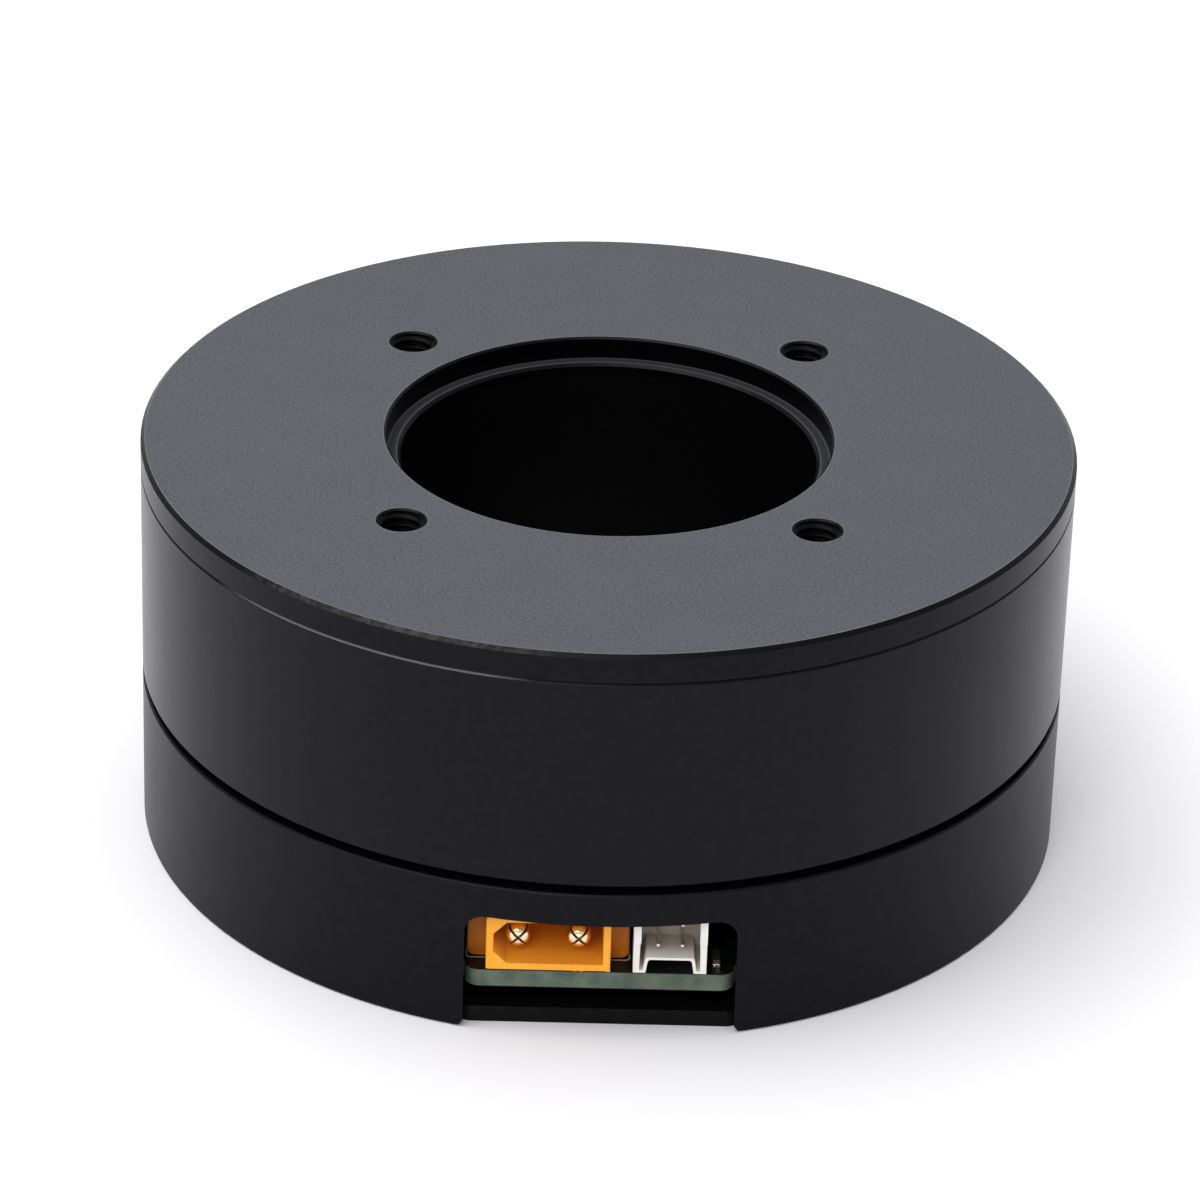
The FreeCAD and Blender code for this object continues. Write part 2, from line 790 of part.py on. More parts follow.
def encoder_chip():
    """The position sensor, under the encoder ring and square to it."""
    radius = board_bore_r + encoder_chip_inset + encoder_chip_size / 2
    return chip(encoder_chip_size, radius, encoder_chip_deg)


# ---- the whole ------------------------------------------------------------------------------------
def build():
    os.makedirs("parts", exist_ok=True)
    save("output_plate", output_plate())
    save("rotor_can", rotor_can())
    save("rotor_magnets", *rotor_magnets())
    save("hollow_shaft", hollow_shaft())
    save("shaft_screws", *shaft_screws())
    save("shaft_lock_ring", lock_ring())
    save("encoder_ring", encoder_ring())
    save("upper_bearing_inner_race", inner_race(upper_bearing_z))
    save("upper_bearing_outer_race", outer_race(upper_bearing_z))
    save("upper_bearing_shields", *shields(upper_bearing_z))
    save("lower_bearing_inner_race", inner_race(lower_bearing_z))
    save("lower_bearing_outer_race", outer_race(lower_bearing_z))
    save("lower_bearing_shields", *shields(lower_bearing_z))
    save("bearing_spacer", bearing_spacer())
    save("stator_core", stator_core())
    save("stator_coils", *stator_coils())
    save("phase_leads", *phase_leads())
    save("base_housing", base_housing())
    save("bottom_cover", bottom_cover())
    save("cover_screws", *cover_screws())
    save("circuit_board", circuit_board())
    save("board_screws", *board_screws())
    save("power_socket", power_socket())
    save("power_pins", *power_pins())
    save("signal_socket", signal_socket())
    save("signal_pins", *signal_pins())
    save("control_chip", chip(control_chip_size, chip_r, control_chip_deg))
    save("gate_driver_chip", chip(driver_chip_size, chip_r, driver_chip_deg))
    save("power_transistors", *power_transistors())
    save("board_capacitor", board_capacitor())
    save("encoder_chip", encoder_chip())


build()
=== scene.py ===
"""Looks for the hollow joint actuator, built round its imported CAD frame.

Metres throughout, in the shared frame: +Z is up, and the notch with the sockets faces -Y. The functions
that build small parts work in millimetres, and MM turns those into metres.
"""
import math

import bmesh
import bpy
from mathutils import Matrix, Vector


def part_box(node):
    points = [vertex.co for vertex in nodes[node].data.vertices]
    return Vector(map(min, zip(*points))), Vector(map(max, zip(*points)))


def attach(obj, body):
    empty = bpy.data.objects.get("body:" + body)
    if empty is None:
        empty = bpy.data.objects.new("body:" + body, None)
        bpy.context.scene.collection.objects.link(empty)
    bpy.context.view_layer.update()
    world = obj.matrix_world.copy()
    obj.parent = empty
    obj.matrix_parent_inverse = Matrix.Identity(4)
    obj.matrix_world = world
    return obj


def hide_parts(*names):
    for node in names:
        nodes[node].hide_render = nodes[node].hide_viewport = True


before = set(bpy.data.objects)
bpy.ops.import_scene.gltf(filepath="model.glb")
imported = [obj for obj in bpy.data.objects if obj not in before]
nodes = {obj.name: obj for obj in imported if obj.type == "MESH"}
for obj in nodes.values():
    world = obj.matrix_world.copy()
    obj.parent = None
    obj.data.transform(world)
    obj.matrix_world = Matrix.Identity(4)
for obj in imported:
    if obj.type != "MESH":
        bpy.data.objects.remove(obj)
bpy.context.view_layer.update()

MM = 0.001

# ---- places read from the frame -------------------------------------------------------------------
plate_low, plate_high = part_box("output_plate")
_, can_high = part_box("rotor_can")
board_low, board_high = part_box("circuit_board")
socket_low, socket_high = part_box("power_socket")
socket_x = (socket_low.x + socket_high.x) / 2
TOP_Z = plate_high.z
LEDGE_Z = TOP_Z - 2.0 * MM  # the step in the output plate's bore

# ---- sizes of the hole patterns, in millimetres ---------------------------------------------------
OUTPUT_SPOT = 34.5 / 2  # an output hole's distance from the axis, in x and in y
MOUNT_R = 32.5          # the radius of the circle that the mounting holes stand on

# ---- linear colours -------------------------------------------------------------------------------
ANODISED = (0.0030, 0.0029, 0.0040)
BLASTED = (0.069, 0.071, 0.078)
# painted shade: the plate's outer chamfer, painted darker than the anodised skin
CHAMFER_SHADE = (0.0015, 0.0015, 0.0018)
# painted highlight: one stretch of the can's top edge
EDGE_HIGHLIGHT = (0.13, 0.13, 0.135)
DUST = (0.085, 0.085, 0.09)


# ---- node materials -------------------------------------------------------------------------------
class Finish:
    """A material with one Principled shader, and short calls for the nodes that feed it."""

    def __init__(self, name, color, roughness, metallic=0.0, specular=0.5):
        self.material = bpy.data.materials.new(name)
        self.material.use_nodes = True
        self.tree = self.material.node_tree
        self.shader = self.tree.nodes["Principled BSDF"]
        self.color = tuple(color)
        self.shader.inputs["Base Color"].default_value = (*color, 1.0)
        self.shader.inputs["Roughness"].default_value = roughness
        self.shader.inputs["Metallic"].default_value = metallic
        self.shader.inputs["Specular IOR Level"].default_value = specular
        self.place = self.tree.nodes.new("ShaderNodeTexCoord").outputs["Object"]
        self.material.diffuse_color = (*color, 1.0)

    def feed(self, socket, value):
        """Links a node's output to a socket, or sets a plain value on it."""
        if isinstance(value, bpy.types.NodeSocket):
            self.tree.links.new(value, socket)
        elif isinstance(value, (tuple, list)) and len(value) == 3 and socket.type == "RGBA":
            socket.default_value = (*value, 1.0)
        else:
            socket.default_value = value

    def math(self, operation, a, b=0.0):
        node = self.tree.nodes.new("ShaderNodeMath")
        node.operation = operation
        self.feed(node.inputs[0], a)
        self.feed(node.inputs[1], b)
        return node.outputs[0]

    def both(self, a, b):
        """A mask where two masks meet. It also weakens a mask by a share."""
        return self.math("MULTIPLY", a, b)

    def either(self, mask, *others):
        """A mask that covers what any of several masks covers."""
        for other in others:
            mask = self.math("MAXIMUM", mask, other)
        return mask

    def length(self, a, b):
        """The length of the flat vector (a, b)."""
        squares = self.math("ADD", self.math("MULTIPLY", a, a), self.math("MULTIPLY", b, b))
        return self.math("SQRT", squares)

    def axes(self):
        """The x, y and z of the place on the piece, in metres."""
        node = self.tree.nodes.new("ShaderNodeSeparateXYZ")
        self.feed(node.inputs[0], self.place)
        return node.outputs

    def radius(self):
        """The distance from the actuator's axis, in metres."""
        x, y, _ = self.axes()
        return self.length(x, y)

    def turned_place(self, stretch):
        """Coordinates that run round the axis: angle, radius and height. stretch slows the angle."""
        x, y, z = self.axes()
        angle = self.math("MULTIPLY", self.math("ARCTAN2", y, x), stretch)
        node = self.tree.nodes.new("ShaderNodeCombineXYZ")
        for socket, value in zip(node.inputs, (angle, self.radius(), z)):
            self.feed(socket, value)
        return node.outputs[0]

    def noise(self, size, detail=2.0, place=None):
        """Noise from 0 to 1 whose blotches are about size metres across."""
        node = self.tree.nodes.new("ShaderNodeTexNoise")
        self.feed(node.inputs["Vector"], place or self.place)
        node.inputs["Scale"].default_value = 1.0 / size
        node.inputs["Detail"].default_value = detail
        return node.outputs["Fac"]

    def cells(self, size):
        """Distance to scattered points about size metres apart."""
        node = self.tree.nodes.new("ShaderNodeTexVoronoi")
        self.feed(node.inputs["Vector"], self.place)
        node.inputs["Scale"].default_value = 1.0 / size
        return node.outputs["Distance"]

    def layers(self, pitch, distortion):
        """Lines stacked along Z at a pitch in metres."""
        node = self.tree.nodes.new("ShaderNodeTexWave")
        node.bands_direction = "Z"
        self.feed(node.inputs["Vector"], self.place)
        node.inputs["Scale"].default_value = 2 * math.pi / (20.0 * pitch)
        node.inputs["Distortion"].default_value = distortion
        return node.outputs["Fac"]

    def step(self, value, start, end, low=0.0, high=1.0):
        """value from start..end becomes low..high, and stays there outside."""
        node = self.tree.nodes.new("ShaderNodeMapRange")
        for socket, item in zip(node.inputs[:5], (value, start, end, low, high)):
            self.feed(socket, item)
        return node.outputs[0]

    def fall(self, value, start, end):
        """1 up to start, 0 from end on."""
        return self.step(value, start, end, 1.0, 0.0)

    def band(self, value, centre, half, soft):
        """1 within half of the centre, 0 beyond half + soft."""
        away = self.math("ABSOLUTE", self.math("SUBTRACT", value, centre))
        return self.fall(away, half, half + soft)

    def drift(self, size, low, high):
        """A value that wanders between low and high in blotches of a size."""
        return self.step(self.noise(size), 0.3, 0.7, low, high)

    def mix(self, share, a, b):
        """Colour a where share is 0, b where it is 1."""
        node = self.tree.nodes.new("ShaderNodeMix")
        node.data_type = "RGBA"
        self.feed(node.inputs[0], share)
        self.feed(node.inputs[6], a)
        self.feed(node.inputs[7], b)
        return node.outputs[2]

    def paint(self, color):
        self.feed(self.shader.inputs["Base Color"], color)

    def polish(self, roughness):
        self.feed(self.shader.inputs["Roughness"], roughness)

    def relief(self, height, depth, strength):
        """Bump from a 0 to 1 height, depth metres deep."""
        node = self.tree.nodes.new("ShaderNodeBump")
        node.inputs["Strength"].default_value = strength
        node.inputs["Distance"].default_value = depth
        self.feed(node.inputs["Height"], height)
        self.feed(self.shader.inputs["Normal"], node.outputs[0])

    def shades(self, share):
        """The base colour, darker and lighter by a share."""
        return scaled(self.color, 1.0 - share), scaled(self.color, 1.0 + share)

    def mottle(self, size, share, detail=2.0):
        """Base colour that varies by a share in blotches of a size."""
        dark, light = self.shades(share)
        return self.mix(self.step(self.noise(size, detail), 0.35, 0.65), dark, light)


def scaled(color, factor):
    return tuple(channel * factor for channel in color)


def dusted(f, tone):
    """A few pale specks of dust over a tone."""
    specks = f.fall(f.cells(1.2 * MM), 0.030, 0.045)
    where = f.step(f.noise(9.0 * MM), 0.56, 0.60)
    return f.mix(f.both(specks, where), tone, DUST)


def anodised_tone(f):
    """A black anodised skin's colour: faintly mottled, with a little dust."""
    return dusted(f, f.mottle(0.9 * MM, 0.22))


def highlight_stretch(f, x, y, centre):
    """1 along a stretch of the front rim where a highlight is painted, round a centre in x."""
    half, soft, front = 9.0 * MM, 4.0 * MM, 2.0 * MM
    return f.both(f.band(x, centre, half, soft), f.fall(y, -front, front))


def black_anodised(name, color, roughness, specular, edge_z=None):
    """Smooth, black anodised metal. With edge_z, one stretch of the edge at that height gets a painted
    highlight.
    """
    f = Finish(name, color, roughness, specular=specular)
    tone = anodised_tone(f)
    if edge_z is not None:
        x, y, z = f.axes()
        # painted highlight on the front-left stretch of the top edge
        stretch = highlight_stretch(f, x, y, -19.0 * MM)
        edge = f.step(z, edge_z - 0.14 * MM, edge_z - 0.10 * MM)
        tone = f.mix(f.both(stretch, edge), tone, EDGE_HIGHLIGHT)
    f.paint(tone)
    f.polish(f.drift(6 * MM, roughness - 0.01, roughness + 0.01))
    f.relief(f.noise(0.22 * MM), 0.010 * MM, 0.5)
    return f.material


def blasted_tone(f, face, r, to_hole):
    """The bead-blasted top: fine grain, faint clouds, and painted highlights along its edges and round its
    holes.
    """
    outer_lip, bore_lip, hole_lip = 39.61 * MM, 19.33 * MM, 2.22 * MM
    thin, soft = 0.02 * MM, 0.03 * MM
    grain = f.step(f.noise(0.24 * MM, 3.0), 0.32, 0.68)
    clouds = f.drift(5 * MM, 0.0, 0.12)
    blast = f.mix(grain, scaled(face, 0.72), scaled(face, 1.28))
    blast = f.mix(clouds, blast, scaled(face, 1.3))
    # painted highlights: thin pale lines at the top face's outer edge, round the bore and round the holes
    edge_highlights = f.either(
        f.band(r, outer_lip, soft, soft),
        f.band(r, bore_lip, thin, soft),
        f.band(to_hole, hole_lip, thin, soft),
    )
    return f.mix(f.both(edge_highlights, 0.35), blast, scaled(face, 2.4))


def chamfer_tone(f, x, y):
    """The plate's outer chamfer: painted shade, with a painted highlight in flecks along one stretch."""
    # painted highlight, in flecks, along one stretch of the chamfer
    faint_glint, bright_glint = (0.007, 0.0065, 0.006), (0.034, 0.031, 0.029)
    flecks = f.mix(f.step(f.noise(0.7 * MM, 4.0), 0.4, 0.65), faint_glint, bright_glint)
    return f.mix(highlight_stretch(f, x, y, -17.0 * MM), CHAMFER_SHADE, flecks)


def ledge_tone(f, face, r):
    """The ledge in the bore: painted shade, with two thin painted highlight rings at its edges."""
    wide_r, narrow_r, soft = 18.95 * MM, 18.2 * MM, 0.05 * MM
    # painted highlights at the ledge's two edges, over painted shade
    ring_highlights = f.either(f.band(r, wide_r, 0.06 * MM, soft), f.band(r, narrow_r, 0.04 * MM, soft))
    return f.mix(f.both(ring_highlights, 0.8), scaled(face, 0.26), scaled(face, 0.75))


def plate_finish(name, wall, face):
    """The output plate: satin rim, a chamfer in painted shade with a painted highlight along one stretch,
    a blasted top with painted highlights at its edges, and painted shade in the bore, holes and ledge.
    """
    satin, matte, specular = 0.30, 0.62, 0.105
    f = Finish(name, wall, satin, specular=specular)
    x, y, z = f.axes()
    r = f.radius()
    spot = OUTPUT_SPOT * MM
    off_x = f.math("SUBTRACT", f.math("ABSOLUTE", x), spot)
    off_y = f.math("SUBTRACT", f.math("ABSOLUTE", y), spot)
    to_hole = f.length(off_x, off_y)

    on_top = f.step(z, TOP_Z - 0.03 * MM, TOP_Z - 0.01 * MM)
    on_ledge = f.both(f.band(z, LEDGE_Z, 0.01 * MM, 0.01 * MM), f.fall(r, 19.0 * MM, 19.2 * MM))
    at_chamfer = f.band(z, TOP_Z - 0.17 * MM, 0.16 * MM, 0.03 * MM)
    on_chamfer = f.both(at_chamfer, f.step(r, 39.6 * MM, 39.64 * MM))
    # painted shade inside the bore and the output holes
    within = f.either(f.fall(r, 19.4 * MM, 19.5 * MM), f.fall(to_hole, 2.3 * MM, 2.4 * MM))

    tone = f.mix(within, anodised_tone(f), scaled(wall, 0.35))
    tone = f.mix(on_chamfer, tone, chamfer_tone(f, x, y))
    tone = f.mix(on_ledge, tone, ledge_tone(f, face, r))
    f.paint(f.mix(on_top, tone, blasted_tone(f, face, r, to_hole)))
    gloss = f.step(f.either(on_top, on_ledge), 0.0, 1.0, satin, matte)
    f.polish(f.math("ADD", gloss, f.drift(6 * MM, -0.01, 0.01)))
    f.relief(f.noise(0.22 * MM), 0.012 * MM, 0.6)
    return f.material


def machined_steel(name, color, roughness):
    """Turned or ground bright metal with fine rings round the axis."""
    f = Finish(name, color, roughness, metallic=1.0)
    rings = f.noise(0.12 * MM, place=f.turned_place(0.002))
    f.paint(f.mix(rings, *f.shades(0.12)))
    f.polish(f.step(rings, 0.3, 0.7, roughness - 0.06, roughness + 0.08))
    f.relief(rings, 0.004 * MM, 0.5)
    return f.material


def moulded(name, color, roughness):
    """Moulded plastic, rubber or ink: faint cloudiness and a fine grain."""
    f = Finish(name, color, roughness)
    f.paint(f.mottle(2.5 * MM, 0.08))
    f.polish(f.drift(1.2 * MM, roughness - 0.05, roughness + 0.05))
    f.relief(f.noise(0.1 * MM), 0.008 * MM, 0.5)
    return f.material


def sintered(name, color, roughness, metallic, grain=0.25 * MM, share=0.2):
    """Pressed or plated grainy stock: magnets, ferrite, ceramic, contacts and solder."""
    f = Finish(name, color, roughness, metallic=metallic)
    f.paint(f.mottle(grain, share, 4.0))
    f.polish(f.drift(0.8 * MM, roughness - 0.08, roughness + 0.08))
    f.relief(f.noise(grain, 3.0), 0.01 * MM, 0.5)
    return f.material


def laminated_steel(name):
    """Stacked electrical-steel sheets: thin lines at the sheet pitch."""
    f = Finish(name, (0.30, 0.31, 0.33), 0.42, metallic=1.0)
    sheets = f.layers(0.35 * MM, 0.3)
    f.paint(f.mix(sheets, (0.10, 0.10, 0.11), (0.34, 0.35, 0.37)))
    f.polish(f.step(sheets, 0.0, 1.0, 0.6, 0.36))
    f.relief(sheets, 0.03 * MM, 0.8)
    return f.material


def wound_copper(name):
    """Enamelled copper wire laid side by side."""
    f = Finish(name, (0.62, 0.20, 0.07), 0.28, metallic=1.0)
    wires = f.layers(0.45 * MM, 0.6)
    f.paint(f.mix(wires, (0.16, 0.045, 0.016), (0.70, 0.25, 0.09)))
    f.polish(f.step(wires, 0.0, 1.0, 0.5, 0.24))
    f.relief(wires, 0.12 * MM, 0.9)
    return f.material


def laminate(name):
    """Circuit board: dark glossy mask on both faces, pale cloudy glass fibre on the cut edge."""
    glossy, rough = 0.38, 0.62
    f = Finish(name, (0.003, 0.006, 0.0045), glossy, specular=0.3)
    _, _, z = f.axes()
    middle, half = (board_low.z + board_high.z) / 2, (board_high.z - board_low.z) / 2
    inside = f.band(z, middle, half - 0.06 * MM, 0.02 * MM)
    cloud = f.step(f.noise(1.4 * MM, 3.0), 0.32, 0.68)
    fibre = f.mix(cloud, (0.070, 0.097, 0.070), (0.124, 0.155, 0.115))
    tracks = f.step(f.noise(0.9 * MM, 0.0), 0.49, 0.51)
    mask = f.mix(tracks, (0.0025, 0.0045, 0.0035), (0.005, 0.009, 0.007))
    f.paint(f.mix(inside, mask, fibre))
    f.polish(f.step(inside, 0.0, 1.0, glossy, rough))
    f.relief(f.noise(0.12 * MM, 3.0), 0.02 * MM, 0.4)
    return f.material


def amber_plastic(name):
    """Glass-filled amber nylon: pale at its thin front rim, with painted shade on the wings and deeper
    inside the body behind it.
    """
    f = Finish(name, (0.95, 0.34, 0.018), 0.36, specular=0.22)
    x, y, _ = f.axes()
    front = board_low.y
    rim = f.mix(f.step(f.noise(1.6 * MM, 3.0), 0.35, 0.65), (1.0, 0.40, 0.030), (1.0, 0.45, 0.040))
    # painted shade: the darker amber for the shaded wings and the deep body
    body = f.mix(f.step(f.noise(2.2 * MM, 3.0), 0.35, 0.65), (0.46, 0.135, 0.006), (0.56, 0.170, 0.008))
    # painted shade on the wings beside the nose and deeper inside the socket
    wings = f.step(f.math("ABSOLUTE", f.math("SUBTRACT", x, socket_x)), 5.1 * MM, 5.2 * MM)
    behind = f.both(wings, f.step(y, front + 1.0 * MM, front + 2.1 * MM))
    deep = f.step(y, front + 0.5 * MM, front + 5.0 * MM, 0.0, 0.55)
    f.paint(f.mix(f.either(behind, deep), rim, body))
    f.polish(f.drift(0.6 * MM, 0.34, 0.46))
    f.relief(f.noise(0.15 * MM), 0.006 * MM, 0.5)
    return f.material


def white_plastic(name):
    """Header nylon: chalky white at the front, with painted shade making it darker and warmer deeper in
    its cavity.
    """
    f = Finish(name, (0.88, 0.85, 0.80), 0.42, specular=0.3)
    _, y, _ = f.axes()
    front = board_low.y
    # painted shade deeper in the cavity
    deep = f.step(y, front + 0.15 * MM, front + 2.2 * MM)
    f.paint(f.mix(deep, f.mottle(1.2 * MM, 0.03), (0.52, 0.465, 0.40)))
    f.polish(f.drift(1.2 * MM, 0.38, 0.48))
    f.relief(f.noise(0.12 * MM), 0.006 * MM, 0.5)
    return f.material


def slot_of(material):
    """The slot a material is for: its name without the number that Blender may add."""
    return material.name.split(".")[0]


def all_finishes():
    """A material for each of the record's slots, and for the threads, the solder and the printed line."""
    made = (
        plate_finish("plate_black", ANODISED, BLASTED),
        # the can's top edge carries a painted highlight along one stretch
        black_anodised("can_black", ANODISED, 0.28, 0.125, can_high.z),
        black_anodised("base_black", ANODISED, 0.36, 0.105),
        black_anodised("cover_black", (0.0030, 0.0030, 0.0034), 0.4, 0.09),
        black_anodised("shaft_black", (0.0012, 0.0012, 0.0014), 0.4, 0.08),
        sintered("magnet_nickel", (0.55, 0.53, 0.49), 0.26, 1.0),
        machined_steel("screw_steel", (0.52, 0.52, 0.53), 0.3),
        black_anodised("screw_black", (0.012, 0.012, 0.013), 0.32, 0.5),
        sintered("encoder_ferrite", (0.028, 0.027, 0.026), 0.55, 0.0),
        machined_steel("race_steel", (0.62, 0.62, 0.63), 0.2),
        machined_steel("shield_steel", (0.45, 0.45, 0.46), 0.32),
        machined_steel("spacer_aluminium", (0.66, 0.67, 0.69), 0.36),
        laminate("board_laminate"),
        amber_plastic("socket_amber"),
        sintered("pin_gold", (0.95, 0.80, 0.52), 0.18, 1.0, 0.3 * MM, 0.05),
        white_plastic("socket_white"),
        sintered("pin_tin", (0.62, 0.60, 0.56), 0.24, 1.0, 0.2 * MM, 0.08),
        moulded("chip_black", (0.014, 0.014, 0.015), 0.52),
        sintered("capacitor_ceramic", (0.030, 0.022, 0.016), 0.35, 0.0),
        black_anodised("thread_black", (0.0008, 0.0008, 0.0010), 0.42, 0.06),
        sintered("solder", (0.52, 0.50, 0.47), 0.3, 1.0),
        moulded("ink_white", (0.50, 0.46, 0.38), 0.6),
        laminated_steel("core_steel"),
        wound_copper("coil_copper"),
        moulded("lead_rubber", (0.018, 0.018, 0.019), 0.6),
    )
    return {slot_of(material): material for material in made}


finishes = all_finishes()
for node in nodes.values():
    for material_slot in node.material_slots:
        material_slot.material = finishes[slot_of(material_slot.material)]


# ---- mesh building --------------------------------------------------------------------------------
def add_piece(name, bm, slot, body, replaces=(), bevel=0.0, angle=32.0, finish=None):
    """Turns a bmesh in metres into a piece that rides on a body, with its edges slightly rounded when a
    bevel width is given.
    """
    bmesh.ops.recalc_face_normals(bm, faces=bm.faces)
    mesh = bpy.data.meshes.new(name)
    bm.to_mesh(mesh)
    bm.free()
    mesh.materials.append(finishes[finish or slot])
    piece = bpy.data.objects.new(name, mesh)
    bpy.context.scene.collection.objects.link(piece)
    for face in mesh.polygons:
        face.use_smooth = True
    if bevel:
        edge = piece.modifiers.new("edges", "BEVEL")
        edge.width = bevel
        edge.segments = 2
        edge.limit_method = "ANGLE"
        edge.angle_limit = math.radians(angle)
        edge.harden_normals = True
    else:
        mesh.set_sharp_from_angle(angle=math.radians(angle))
    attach(piece, body)
    if replaces:
        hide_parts(*replaces)


def loft(bm, rings, joined=False):
    """Skins closed rings of equal length, in millimetres. The end rings are capped, or joined."""
    made = [[bm.verts.new(Vector(point) * MM) for point in ring] for ring in rings]
    followers = made[1:] + made[:1] if joined else made[1:]
    count = len(made[0])
    for near, far in zip(made, followers):
        for i in range(count):
            j = (i + 1) % count
            bm.faces.new((near[i], near[j], far[j], far[i]))
    if not joined:
        bm.faces.new(made[0])
        bm.faces.new(made[-1])


def turned_along_y(bm, profile, centre, segments):
    """Skins a (radius, depth) profile round a line along Y from a centre. Radius 0 makes a point."""
    x, y, z = centre

    def vertex(r, depth, angle):
        return bm.verts.new(Vector((x + r * math.cos(angle), y + depth, z + r * math.sin(angle))) * MM)

    rows = []
    for r, depth in profile:
        if r == 0:
            rows.append([vertex(0, depth, 0)] * segments)
        else:
            rows.append([vertex(r, depth, 2 * math.pi * k / segments) for k in range(segments)])
    for near, far in zip(rows, rows[1:]):
        for i in range(segments):
            j = (i + 1) % segments
            corners = []
            for point in (near[i], near[j], far[j], far[i]):
                if point not in corners:
                    corners.append(point)
            if len(corners) > 2:
                bm.faces.new(corners)


def corner(x, z, way_x, way_z, size, rounded, count=5):
    """Points round one corner of an outline in (x, z), counter-clockwise."""
    points = []
    for k in range(count):
        t = k / (count - 1)
        if rounded:
            a = t * math.pi / 2
            along, across = 1 - math.sin(a), 1 - math.cos(a)
        else:
            along, across = 1 - t, t
        points.append((x - way_x * size * across, z - way_z * size * along))
    return points if way_x == way_z else points[::-1]


def outline(x0, x1, z0, z1, sizes, rounded=True, inset=0.0):
    """A rectangle's outline, moved in by an inset.

    The sizes are its corners' radii, or chamfers if not rounded, from the lower left on, anticlockwise.
    """
    x0, x1, z0, z1 = x0 + inset, x1 - inset, z0 + inset, z1 - inset
    a, b, c, d = sizes
    return (
        corner(x0, z0, -1, -1, a, rounded) + corner(x1, z0, 1, -1, b, rounded)
        + corner(x1, z1, 1, 1, c, rounded) + corner(x0, z1, -1, 1, d, rounded)
    )


def at_y(points, y):
    return [(x, y, z) for x, z in points]


def at_z(points, z):
    return [(x, y, z) for x, y in points]


def bm_box(bm, x0, x1, y0, y1, z0, z1):
    """Adds a box, in millimetres, to be rounded by the piece's own bevel."""
    foot = [(x0, y0), (x1, y0), (x1, y1), (x0, y1)]
    loft(bm, [at_z(foot, z0), at_z(foot, z1)])


def in_mm(node):
    """A node's box as (x0, x1, y0, y1, z0, z1) in millimetres."""
    low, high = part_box(node)
    return tuple(round(v / MM, 3) for v in (low.x, high.x, low.y, high.y, low.z, high.z))


# ---- threads --------------------------------------------------------------------------------------
def thread_sleeve(name, centre, low, high, slot, body):
    """The M4 thread cut in a hole: a thin sleeve whose inner face follows the helix."""
    major_r, pitch = 2.0, 0.7
    root_r, crest_r, outside_r = major_r - 0.03, major_r - 0.52 * pitch, major_r - 0.004
    around, rows = 56, max(8, round((high - low) / pitch * 10))

    def inner_radius(angle, z):
        share = ((z - low) / pitch - angle / (2 * math.pi)) % 1.0
        ramp = min(1.0, max(0.0, abs(2 * share - 1) * 1.5 - 0.2))
        return root_r - (root_r - crest_r) * ramp

    def ring(radius_at, z):
        points = []
        for k in range(around):
            a = 2 * math.pi * k / around
            r = radius_at(a, z)
            points.append((centre[0] + r * math.cos(a), centre[1] + r * math.sin(a), z))
        return points

    inner = [ring(inner_radius, low + (high - low) * k / rows) for k in range(rows + 1)]
    outer = [ring(lambda angle, height: outside_r, z) for z in (high, low)]
    bm = bmesh.new()
    loft(bm, inner + outer, joined=True)
    add_piece(name, bm, slot, body, angle=50.0, finish="thread_black")


def all_threads():
    """Threads in the four output holes and in the base's four mounting holes."""
    output_z = (plate_low.z / MM + 0.45, plate_high.z / MM - 0.30)
    mount_z = (0.35, 8.6)
    reach = MOUNT_R / math.sqrt(2)
    for k, (sx, sy) in enumerate(((1, 1), (-1, 1), (-1, -1), (1, -1)), 1):
        spot = (sx * OUTPUT_SPOT, sy * OUTPUT_SPOT)
        thread_sleeve(f"output_thread_{k}", spot, *output_z, "plate_black", "rotor")
        thread_sleeve(f"mount_thread_{k}", (sx * reach, sy * reach), *mount_z, "base_black", "base")


# ---- power socket ---------------------------------------------------------------------------------
def power_socket():
    """Amber two-pole socket: keyed nose with a thin rim, wider body behind, and moulding nibs below."""
    x0, x1, y0, y1, z0, z1 = in_mm("power_socket")
    nose_half, nose_depth, rim, key = 5.125, 2.2, 0.55, 1.1
    back_wall, draft, small, lift = 1.8, 0.05, 0.06, 0.02
    body_corners = (0.6, 0.6, 0.6, 0.6)
    nose_corners = (0.16, 0.12, 0.12, 0.42)
    hole_corners = (key, small, small, key)
    z0 += lift
    middle = (x0 + x1) / 2
    a, b = middle - nose_half, middle + nose_half

    def body(y, inset_x=0.0, inset_z=0.0):
        return at_y(outline(x0 + inset_x, x1 - inset_x, z0 + inset_z, z1 - inset_z, body_corners), y)

    def nose(y, inset=0.0):
        return at_y(outline(a, b, z0, z1, nose_corners, True, inset), y)

    def hole(y, inset):
        return at_y(outline(a, b, z0, z1, hole_corners, False, inset), y)

    bm = bmesh.new()
    loft(bm, [
        body(y1), body(y0 + nose_depth + 0.1), body(y0 + nose_depth, 0.1, 0.05),
        nose(y0 + nose_depth), nose(y0 + small), nose(y0, small),
        hole(y0, rim), hole(y0 + small, rim + small), hole(y1 - back_wall, rim + small + draft),
    ])
    for left, right, depth, drop_z in (
        (b - 3.1, b - 2.76, 1.2, 0.07), (b - 2.55, b - 2.21, 1.2, 0.07), (b - 0.30, b + 0.02, 1.6, 0.08),
    ):
        bm_box(bm, left, right, y0 + 0.02, y0 + depth, z0 - drop_z, z0 + 0.1)
    add_piece("amber_socket_shell", bm, "socket_amber", "base", ["power_socket"], 0.03 * MM, 28.0)


